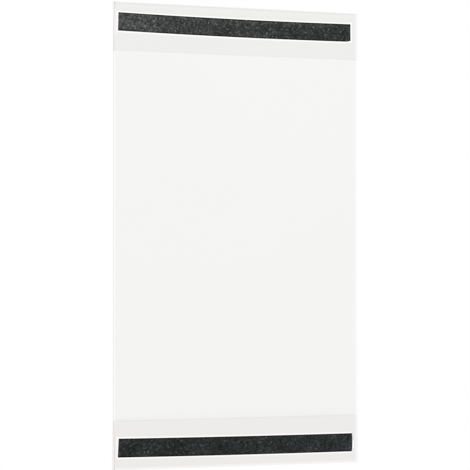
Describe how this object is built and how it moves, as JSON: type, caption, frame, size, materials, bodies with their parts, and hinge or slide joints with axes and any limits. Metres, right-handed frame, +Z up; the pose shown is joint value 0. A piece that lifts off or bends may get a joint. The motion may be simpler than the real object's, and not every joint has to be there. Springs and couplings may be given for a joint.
{
  "type": "magnetic document pocket",
  "caption": "Clear film pocket for an upright sheet of paper, open at the top, with magnetic strips across the back at the top and the bottom.",
  "frame": {"origin": "middle of the upper magnetic face, on the surface that the pocket sticks to", "axes": "+Z up along the pocket's height, +X to the right of a reader, +Y into the surface behind it"},
  "size_m": [0.221, 0.002, 0.377],
  "materials": {
    "front_sheet": "clear polypropylene film, lightly embossed, soft gloss",
    "back_sheet": "clear polypropylene film, lightly embossed, soft gloss",
    "upper_cover_band": "clear polypropylene film, lightly embossed, soft gloss",
    "lower_cover_band": "clear polypropylene film, lightly embossed, soft gloss",
    "left_side_seam": "fused clear polypropylene",
    "right_side_seam": "fused clear polypropylene",
    "lower_edge_seam": "fused clear polypropylene",
    "document_stop_seam": "fused clear polypropylene",
    "upper_magnetic_strip": "black flexible magnet, matt, mottled by its adhesive",
    "lower_magnetic_strip": "black flexible magnet, matt, mottled by its adhesive"
  },
  "bodies": {
    "root": {"front_sheet": "front_sheet", "back_sheet": "back_sheet", "upper_cover_band": "upper_cover_band", "lower_cover_band": "lower_cover_band", "left_side_seam": "left_side_seam", "right_side_seam": "right_side_seam", "lower_edge_seam": "lower_edge_seam", "document_stop_seam": "document_stop_seam", "upper_magnetic_strip": "upper_magnetic_strip", "lower_magnetic_strip": "lower_magnetic_strip"}
  },
  "joints": []
}
